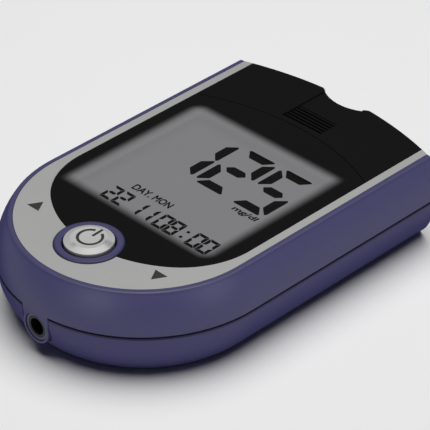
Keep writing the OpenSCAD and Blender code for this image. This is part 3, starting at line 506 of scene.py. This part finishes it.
dark = bmesh.new()
for digit, x0 in (("1", -14.67), ("2", -4.62), ("5", 5.52)):
    figure(dark, digit, x0, BIG_Y, BIG, 0.14)
date = (("2", -13.72), ("2", -10.70), ("1", -6.49), ("1", -3.47))
time = (("0", 0.54), ("8", 3.56), ("0", 9.58), ("0", 12.60))
for digit, x0 in date + time:
    figure(dark, digit, x0, SMALL_Y, SMALL, 0.04)
for y0 in (-12.43, -10.33):
    square = [(DOT_X + a * DOT / 2, y0 + b * DOT / 2) for a, b in ((-1, -1), (1, -1), (1, 1), (-1, 1))]
    plate(dark, square, FILM_TOP, 0.1)
piece("lcd_segments", dark, ink, "case")


def label(work, words, low, high, slant=0.0):
    """Flat lettering that fills the box from low to high."""
    curve = bpy.data.curves.new(words, "FONT")
    curve.body = words
    curve.extrude = 0.5
    curve.shear = slant
    curve.bevel_depth = 0.028
    curve.bevel_resolution = 0
    holder = bpy.data.objects.new(words, curve)
    bpy.context.scene.collection.objects.link(holder)
    shown = holder.evaluated_get(bpy.context.evaluated_depsgraph_get())
    letters = bpy.data.meshes.new_from_object(shown)
    start = len(work.verts)
    work.from_mesh(letters)
    work.verts.ensure_lookup_table()
    verts = work.verts[start:]
    least = Vector(min(v.co[i] for v in verts) for i in range(3))
    most = Vector(max(v.co[i] for v in verts) for i in range(3))
    for v in verts:
        for i in range(2):
            v.co[i] = (low[i] + (high[i] - low[i]) * (v.co[i] - least[i]) / (most[i] - least[i])) * MM
        v.co.z = (FILM_TOP + (SKIN if v.co.z > 0 else 0)) * MM
    bpy.data.objects.remove(holder)
    bpy.data.curves.remove(curve)
    bpy.data.meshes.remove(letters)


words = bmesh.new()
label(words, "DAY.", (-11.0, -7.55), (-6.1, -5.6))
label(words, "MON", (-5.35, -7.5), (-0.6, -5.55))
label(words, "mg/dl", (8.1, 0.75), (14.6, 2.6), 0.12)
bmesh.ops.remove_doubles(words, verts=words.verts[:], dist=0.0005 * MM)
piece("lcd_labels", words, ink, "case")

# ---- Lens and its print ----
# A clear polished plate lies over the whole display, and a black printed mask lies under it. On the plate's
# face painted shade fades from solid black round the window to clear in the middle; along the back and left
# edges it passes through a grey like the display's before it clears, which also covers the walls of the
# opening.
WINDOW_LEFT = -21.1
WINDOW_RIGHT = 20.6
WINDOW_FRONT = -18.2
WINDOW_BACK = 21.6
FADE = 3.3
CORNER = 3.6
lens = Finish("clear_lens")
x, y, z = lens.axes()


def inside(across, along):
    """Distance in from two edges, round at their corner."""
    return CORNER - reach((CORNER - across).high(0), (CORNER - along).high(0))


# Painted shade at the window's edges: towards the right and front edges it fades to solid black; towards the
# left and back edges it darkens from 0.72 of the display's grey to black.
near = inside(WINDOW_RIGHT - x, y - WINDOW_FRONT)
far = inside(x - WINDOW_LEFT, WINDOW_BACK - y)
through = near.ramp(0.0, FADE)
painted_grey_band = 1 - far.ramp(1.9, FADE)
tone = far.ramp(0.0, FADE).low(0.72)
solid = 1 - through * (1 - painted_grey_band)
shade = tone * through * painted_grey_band / solid.high(0.001)
face = z.ramp(18.6, 18.7)
opening = 1 - near.low(far).ramp(0.3, 0.5)
cover = solid * face + opening * (1 - face)
smudge = lens.noise(6, 3)
glossy = lens.shader(
    colour=lens.mix(shade, (0.0068, 0.0068, 0.0070), DISPLAY_GREY),
    rough=0.12 + smudge * 0.05,
    shine=0.03,
)
clear = lens.add("ShaderNodeBsdfTransparent")
lens.surface(lens.add("ShaderNodeMixShader", values={0: cover.high(0.02), 1: clear, 2: glossy}))
lens.on("display_lens")
moulded("black_print", (0.004, 0.004, 0.004), 0.5, 0.1, 0.001, 0.1).on("lens_mask")

# ---- Silver trim ----
# A thin flexible panel in satin silver paint, glued round the black face. The arrows for the two keys under
# it are printed on it in dark grey.
trim = Finish("silver_trim")
flake = trim.noise(0.09, 1)
pool = trim.noise(8, 2)
silver = trim.mix(pool, (0.316, 0.316, 0.313), (0.343, 0.343, 0.340))
trim.surface(trim.shader(
    colour=trim.mix(flake * 0.5, silver, (0.40, 0.40, 0.396)),
    metal=0.25,
    rough=0.46 + (flake - 0.5) * 0.14,
    normal=trim.bump(flake, 0.003),
))
trim.on("trim_panel")

arrow_ink = Finish("arrow_ink")
grit = arrow_ink.noise(0.12, 2)
arrow_ink.surface(arrow_ink.shader(
    colour=arrow_ink.mix(grit, (0.026, 0.027, 0.025), (0.036, 0.037, 0.034)),
    rough=0.5 + grit * 0.1,
    shine=0.1,
    normal=arrow_ink.bump(grit, 0.001),
))
ARROW_R = 1.86
arrows = bmesh.new()
for x0, y0, point in ((-16.39, -27.53, 90), (16.75, -27.04, -90)):
    around = [math.radians(point + 120 * i) for i in range(3)]
    corners = [(x0 + ARROW_R * math.cos(angle), y0 + ARROW_R * math.sin(angle)) for angle in around]
    plate(arrows, corners, TOP, 0.1)
piece("arrow_marks", arrows, arrow_ink, "case")

# ---- Power button ----
# A round cap in satin silver paint with a wide bevel and a shallow dish in its top. It moves down in the
# blue collar and presses the switch below; its symbol is printed in the dish.
button = Finish("button_silver")
x, y, z = button.axes()
fleck = button.noise(0.1, 1)
radius = reach(x, y - BUTTON_Y)
rings = button.add("ShaderNodeTexNoise", {"noise_dimensions": "1D"}, {"W": radius * 9.0, "Detail": 2.0})
turn = button.add("ShaderNodeMath", {"operation": "ARCTAN2"}, {0: y - BUTTON_Y, 1: x})
# Painted reflection: two darker wedges on the bevel, towards the right and towards the front, stand for dark
# surroundings mirrored in it; below the bevel the side of the cap is painted in shade.
right_painted_reflection = 1 - (turn - 0.36).away().ramp(0.05, 0.34)
front_painted_reflection = (1 - (turn + 1.68).away().ramp(0.05, 0.30)) * (1 - radius.ramp(3.6, 4.5))
painted_reflections = right_painted_reflection.high(front_painted_reflection * 0.8) * radius.ramp(2.9, 3.5)
painted_side_shade = 1 - z.ramp(19.45, 19.75)
paint = button.mix(fleck, (0.385, 0.385, 0.381), (0.43, 0.43, 0.426))
button.surface(button.shader(
    colour=button.mix((painted_reflections * 0.62).high(painted_side_shade), paint, (0.17, 0.17, 0.18)),
    metal=0.12,
    rough=0.50 + (rings - 0.5) * 0.1,
    normal=button.bump(rings * 0.5 + fleck * 0.5, 0.003),
))
button.on("power_button")

DISH_TOP = 20.40
DISH_DEPTH = 0.12
DISH_R = 3.6
BALL = (DISH_R ** 2 + DISH_DEPTH ** 2) / (2 * DISH_DEPTH)


def laid_in_dish(verts):
    """Lowers verts from the levels 0 and 1 to just under and just over the surface of the dish."""
    for v in verts:
        out = math.hypot(v.co.x, v.co.y - BUTTON_Y * MM) / MM
        surface = DISH_TOP - DISH_DEPTH + BALL - math.sqrt(BALL ** 2 - out ** 2)
        v.co.z = (surface + (SKIN if v.co.z > 0 else -SKIN)) * MM


SYMBOL_Y = BUTTON_Y + 0.28
RING_IN = 2.12
RING_OUT = 2.7
RING_START = 21
RING_TURN = 318
BAR_WIDTH = 0.56
BAR_LENGTH = 2.7
BAR_PLACE = 1.95
symbol = bmesh.new()
outline = ((RING_IN, 0), (RING_OUT, 0), (RING_OUT, 1), (RING_IN, 1))
ring = [symbol.verts.new(millimetre(0, SYMBOL_Y + r, z)) for r, z in outline]
edges = [symbol.edges.new((ring[i], ring[(i + 1) % 4])) for i in range(4)]
middle = millimetre(0, SYMBOL_Y, 0)
start = Matrix.Rotation(math.radians(RING_START), 3, "Z")
bmesh.ops.rotate(symbol, verts=ring, cent=middle, matrix=start)
bmesh.ops.spin(
    symbol, geom=ring + edges, cent=middle, axis=(0, 0, 1), angle=math.radians(RING_TURN), steps=48,
    use_duplicate=False
)
bmesh.ops.holes_fill(symbol, edges=[e for e in symbol.edges if e.is_boundary])
bar = bmesh.ops.create_cube(symbol, size=1)["verts"]
bmesh.ops.scale(symbol, verts=bar, vec=millimetre(BAR_WIDTH, BAR_LENGTH, 1))
bmesh.ops.translate(symbol, verts=bar, vec=millimetre(0, SYMBOL_Y + BAR_PLACE, 0.5))
laid_in_dish(symbol.verts)
piece("power_symbol", symbol, arrow_ink, "power_button")

# ---- Port cover ----
# The black cover over the strip port, moulded in satin plastic with grip ribs and a scooped end. It slides
# on two runners, so that the port can be cleaned.
moulded("black_cover", (0.0062, 0.0062, 0.0062), 0.42, 0.14, 0.006, 0.03).on("port_cover")

# ---- Table, lamps and camera ----
# The meter lies on a pale table top under one wide soft lamp, with two weak ones beside the camera that
# don't reach the table. The camera looks down on the nose's right corner through a long lens.
scene = bpy.context.scene
scene.view_settings.view_transform = "Standard"

top = bmesh.new()
bmesh.ops.create_grid(top, x_segments=1, y_segments=1, size=3)
table_mesh = bpy.data.meshes.new("table_top")
top.to_mesh(table_mesh)
top.free()
table = bpy.data.objects.new("table_top", table_mesh)
scene.collection.objects.link(table)
paper = Finish("pale_table")
fibre = paper.noise(70, 2)
paper.surface(paper.shader(
    colour=paper.mix(fibre, (0.785, 0.785, 0.785), (0.805, 0.805, 0.805)),
    rough=0.9,
    shine=0.1,
))
table_mesh.materials.append(paper.material)
table.location.z = -0.02 * MM

room = bpy.data.worlds.new("room")
room.use_nodes = True
room.node_tree.nodes.clear()


def room_node(kind, **values):
    node = room.node_tree.nodes.new(kind)
    for name, value in values.items():
        node.inputs[name].default_value = value
    return node


def room_link(source, output, target, socket):
    room.node_tree.links.new(source.outputs[output], target.inputs[socket])


light = room_node("ShaderNodeBackground", Color=(1, 1, 1, 1), Strength=0.01)
seen = room_node("ShaderNodeBackground", Color=(0.8, 0.8, 0.8, 1), Strength=1.0)
path = room_node("ShaderNodeLightPath")
either = room_node("ShaderNodeMath")
glint = room_node("ShaderNodeMath")
glint.operation = "MULTIPLY_ADD"
glint.inputs[1].default_value = 0.12
pick = room_node("ShaderNodeMixShader")
sky = room_node("ShaderNodeOutputWorld")
room_link(path, "Is Camera Ray", either, 0)
room_link(path, "Is Transmission Ray", either, 1)
room_link(path, "Is Glossy Ray", glint, 0)
room_link(either, 0, glint, 2)
room_link(glint, 0, pick, 0)
room_link(light, 0, pick, 1)
room_link(seen, 0, pick, 2)
room_link(pick, 0, sky, "Surface")
scene.world = room

floor_apart = bpy.data.collections.new("floor_apart")
floor_apart.objects.link(table)
floor_apart.collection_objects[0].light_linking.link_state = "EXCLUDE"


def lamp(name, place, size, power, on_floor=True):
    data = bpy.data.lights.new(name, "AREA")
    data.shape = "DISK"
    data.size = size
    data.energy = power
    item = bpy.data.objects.new(name, data)
    item.location = place
    item.rotation_euler = (-Vector(place)).to_track_quat("-Z", "Y").to_euler()
    scene.collection.objects.link(item)
    if not on_floor:
        item.light_linking.receiver_collection = floor_apart


lamp("overhead_lamp", (-0.005, 0.048, 0.62), 0.71, 5.14)
lamp("left_lamp", (0.13, -0.78, 0.21), 0.28, 1.15, on_floor=False)
lamp("right_lamp", (0.78, 0.09, 0.22), 0.28, 1.08, on_floor=False)

camera = bpy.data.objects.new("camera", bpy.data.cameras.new("camera"))
camera.data.sensor_width = 36
camera.data.sensor_fit = "HORIZONTAL"
camera.data.lens = 228.82
camera.data.clip_start = 0.01
camera.data.clip_end = 20
camera.location = millimetre(314.77, -312.81, 316.57)
camera.rotation_euler = (millimetre(-1.01, 5.97, 8.0) - camera.location).to_track_quat("-Z", "Y").to_euler()
scene.collection.objects.link(camera)
scene.camera = camera
